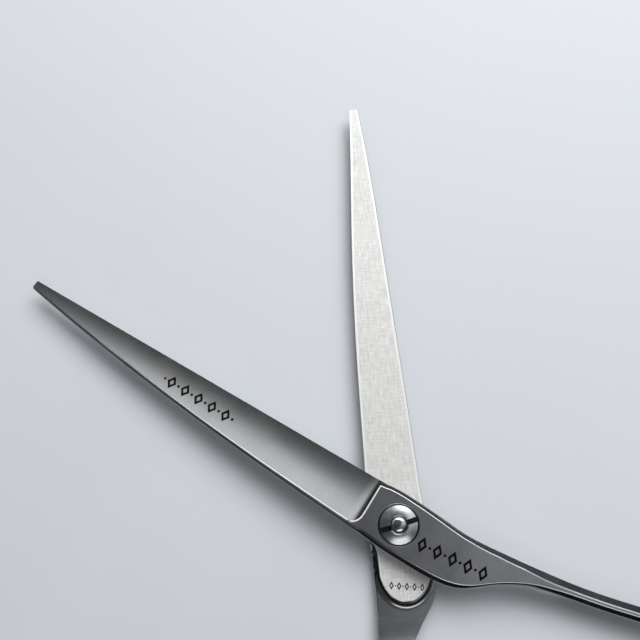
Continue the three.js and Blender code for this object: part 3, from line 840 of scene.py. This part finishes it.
bumper = solidLathe("ringBumper", bumperProfile(), 64, [blackRubber])
bumperX = upperLine["ring"]["x"] - upperLine["ring"]["a"] - ringForm["wall"]
lieDown = Matrix.Rotation(-np.pi / 2, 4, "Y")
bumper.data.transform(Matrix.Translation((bumperX, bumperForm["y"], 0)) @ lieDown)
finishPiece(bumper, upperPlace, 40)
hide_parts("bumper")
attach(bumper, "upper")

restForm = {
    "angle": -62.0,         # where the rest stands on the ring
    "length": 15.0,
    "endRadius": 1.4,
    # screw, collar and stem: distance along the rest, then the radius there
    "along": [0, 0.9, 1.3, 1.35, 2.35, 2.5, 3.2, 12],
    "radius": [1.0, 1.0, 1.1, 1.7, 1.7, 1.3, 1.2, 1.22],
}


def restRings():
    # round section carried along a hook, flattened and swelling to a rounded end
    ring = upperLine["ring"]
    a, b = ring["a"] + ringForm["wall"], ring["b"] + ringForm["wall"]
    angle = toRadians(restForm["angle"])
    seat = np.array([ring["x"] + a * np.cos(angle), ring["y"] + b * np.sin(angle)])
    out = np.array([np.cos(angle) / a, np.sin(angle) / b])
    out /= np.linalg.norm(out)
    side = np.array([-out[1], out[0]])
    length = restForm["length"]
    local = np.array([[-0.9, 0], [0.4, 0], [1.5, 0], [length * 0.3, 0.2], [length * 0.62, 1.9],
                      [length * 0.85, 4.4], [length, 7.6]])
    travel = np.concatenate([[0], np.cumsum(np.linalg.norm(np.diff(local, axis=0), axis=1))])
    fine = np.linspace(0, travel[-1], 90)
    bend = np.linspace(0, np.pi / 2, 12)
    path = naturalSpline(travel, local, fine)
    tangent = np.gradient(path, axis=0)
    tangent /= np.linalg.norm(tangent, axis=1)[:, None]
    endRadius = restForm["endRadius"]
    radius = np.interp(fine, restForm["along"] + [travel[-1]], restForm["radius"] + [endRadius])
    cap = path[-1] + tangent[-1] * (endRadius * np.sin(bend[1:]))[:, None]
    path = np.concatenate([path, cap])
    tangent = np.concatenate([tangent, np.repeat(tangent[-1:], len(bend) - 1, 0)])
    radius = np.concatenate([radius, endRadius * np.maximum(np.cos(bend[1:]), 0.02)])
    world = seat + path[:, :1] * out + path[:, 1:] * side
    worldTangent = tangent[:, :1] * out + tangent[:, 1:] * side
    flank = np.stack([-worldTangent[:, 1], worldTangent[:, 0]], -1)
    turn = np.linspace(0, 2 * np.pi, 28, endpoint=False)
    spots = world[:, None] + flank[:, None] * (radius[:, None] * np.cos(turn))[..., None]
    height = radius[:, None] * np.sin(turn)
    return np.concatenate([spots, height[..., None]], -1)


fingerRest = loftMesh("fingerRest", restRings(), [polishedSteel])
finishPiece(fingerRest, upperPlace, 50)
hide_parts("finger_rest")
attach(fingerRest, "upper")
print("ring furniture made")

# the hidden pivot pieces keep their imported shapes
springSteel = plainMaterial("springSteel", {
    # rolled spring steel: grey, slightly hazy
    "dark": "#8f9193", "light": "#a3a5a7", "scale": 700.0,
    "rough": (0.28, 0.38), "bump": 0.08, "metal": 1.0})
bearingBronze = plainMaterial("bearingBronze", {
    # sintered bronze: warm, porous, dull
    "dark": "#8d6a3d", "light": "#b08a55", "scale": 1200.0,
    "rough": (0.35, 0.5), "bump": 0.2, "metal": 1.0})
whiteNylon = plainMaterial("whiteNylon", {
    # moulded nylon: off-white, waxy
    "dark": "#dedcd2", "light": "#efede5", "scale": 500.0,
    "rough": (0.42, 0.52), "bump": 0.06, "metal": 0.0})
for node, material in (("spring_washer", springSteel), ("bearing_bush", bearingBronze),
                       ("glide_washer", whiteNylon)):
    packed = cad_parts[node]
    packed.data.materials.clear()
    packed.data.materials.append(material)

tableTop = plainMaterial("paleTable", {
    # painted board: pale blue-grey, matt
    "dark": "#bec2c7", "light": "#c4c7cb", "scale": 30.0,
    "rough": (0.6, 0.7), "bump": 0.02, "metal": 0.0})
tableMesh = bpy.data.meshes.new("tableTop")
span = 3.0
corners = [(-span, -span), (span, -span), (span, span), (-span, span)]
tableMesh.from_pydata([(x, y, -0.0001) for x, y in corners], [], [(0, 1, 2, 3)])
tableMesh.materials.append(tableTop)
table = placeInScene(tableMesh, "tableTop")

view = {"place": (-0.00744, 0.01484, 0.13556), "tilt": 12.395, "heading": -31.02, "focal": 700 / 640 * 36}
heading, tilt = toRadians(view["heading"]), toRadians(view["tilt"])
away = np.array([-np.sin(heading), np.cos(heading), 0])
forward = np.sin(tilt) * away + np.cos(tilt) * np.array([0, 0, -1.0])
sideways = np.cross(away, [0, 0, 1.0])


def aim(position, forwardAxis, sideAxis):
    # a matrix that looks along one direction with another to its right
    forwardAxis = np.asarray(forwardAxis) / np.linalg.norm(forwardAxis)
    sideAxis = np.asarray(sideAxis) / np.linalg.norm(sideAxis)
    up = np.cross(sideAxis, forwardAxis)
    turn = np.eye(4)
    turn[:3, 0], turn[:3, 1], turn[:3, 2], turn[:3, 3] = sideAxis, up, -forwardAxis, position
    return Matrix(turn.tolist())


cameraData = bpy.data.cameras.new("camera")
cameraData.sensor_width = 36
cameraData.lens = view["focal"]
cameraData.clip_start = 0.005
camera = placeInScene(cameraData, "camera")
camera.matrix_world = aim(view["place"], forward, sideways)
bpy.context.scene.camera = camera

lamps = [
    # name, place towards the right, the top and up, in metres; then size, power, colour, seen in steel
    ("key", (0.09, 0.32, 0.37), (0.48, 0.48), 1.72, "#ffffff", False),
    ("card", (0.105, 0.40, 0.42), (0.66, 0.30), 1.65, "#ffffff", True),
    ("edge", (0.14, -0.55, 0.75), (0.62, 0.3), 0.85, "#ffffff", True),
]


def addLamp(name, toward, size, power, color, inSteel):
    # a soft panel facing the pivot; the key lights the table and is left out of the reflections
    flatSide = np.cross(away, [0, 0, 1.0])
    position = toward[0] * flatSide + toward[1] * away + np.array([0, 0, toward[2]])
    data = bpy.data.lights.new(name, "AREA")
    data.shape = "ELLIPSE"
    data.size, data.size_y = size
    data.energy = power
    data.color = linearColor(color)[:3]
    lamp = placeInScene(data, name)
    lamp.visible_glossy = inSteel
    lamp.matrix_world = aim(position, -position, np.cross(-position, [0, 0, 1.0]))


for lamp in lamps:
    addLamp(*lamp)
world = bpy.data.worlds.new("room")
bpy.context.scene.world = world
world.use_nodes = True
sky = world.node_tree
background = sky.nodes["Background"]
background.inputs["Color"].default_value = linearColor("#eef0f3")


def skyNode(kind, settings, links):
    node = sky.nodes.new(kind)
    for key, value in settings.items():
        if isinstance(key, str) and hasattr(node, key):
            setattr(node, key, value)
        else:
            node.inputs[key].default_value = value
    for key, socket in links.items():
        sky.links.new(socket, node.inputs[key])
    return node


room = {
    # a pale window side, a dark place overhead, a dim floor line
    "window": (0.524, 0.603, 0.602), "windowFrom": 0.2, "windowTo": 0.92, "dim": 0.1, "bright": 1.6,
    "shade": (-0.025, 0.24, 0.97), "shadeFrom": 0.8, "shadeTo": 0.94, "shadeTone": 0.13,
    "lowFrom": 0.22, "lowTo": 0.62, "low": 0.08, "backdrop": 0.4,
}
direction = skyNode("ShaderNodeTexCoord", {}, {}).outputs["Generated"]
unit = skyNode("ShaderNodeVectorMath", {"operation": "NORMALIZE"}, {0: direction}).outputs["Vector"]
towards = skyNode("ShaderNodeVectorMath", {"operation": "DOT_PRODUCT", 1: room["window"]}, {0: unit})
window = skyNode("ShaderNodeMapRange", {"interpolation_type": "SMOOTHSTEP", "From Min": room["windowFrom"],
                                        "From Max": room["windowTo"], "To Min": room["dim"],
                                        "To Max": room["bright"]}, {"Value": towards.outputs["Value"]})
height = skyNode("ShaderNodeSeparateXYZ", {}, {"Vector": unit}).outputs["Z"]
overhead = skyNode("ShaderNodeVectorMath", {"operation": "DOT_PRODUCT", 1: room["shade"]}, {0: unit})
ceiling = skyNode("ShaderNodeMapRange", {"interpolation_type": "SMOOTHSTEP", "From Min": room["shadeFrom"],
                                         "From Max": room["shadeTo"], "To Min": 1.0,
                                         "To Max": room["shadeTone"]}, {"Value": overhead.outputs["Value"]})
low = skyNode("ShaderNodeMapRange", {"interpolation_type": "SMOOTHSTEP", "From Min": room["lowFrom"],
                                     "From Max": room["lowTo"], "To Min": room["low"], "To Max": 1.0},
              {"Value": height})
shaded = skyNode("ShaderNodeMath", {"operation": "MULTIPLY"}, {0: window.outputs[0], 1: ceiling.outputs[0]})
strength = skyNode("ShaderNodeMath", {"operation": "MULTIPLY"}, {0: shaded.outputs[0], 1: low.outputs[0]})
# the backdrop behind the table's far edge is pale to the eye, and dim only in the steel
seenDirectly = skyNode("ShaderNodeLightPath", {}, {}).outputs["Is Camera Ray"]
backdrop = skyNode("ShaderNodeMix", {"data_type": "FLOAT", 3: room["backdrop"]},
                   {"Factor": seenDirectly, 2: strength.outputs[0]})
sky.links.new(backdrop.outputs[0], background.inputs["Strength"])
bpy.context.scene.view_settings.view_transform = "Standard"
print("table, light and camera set")
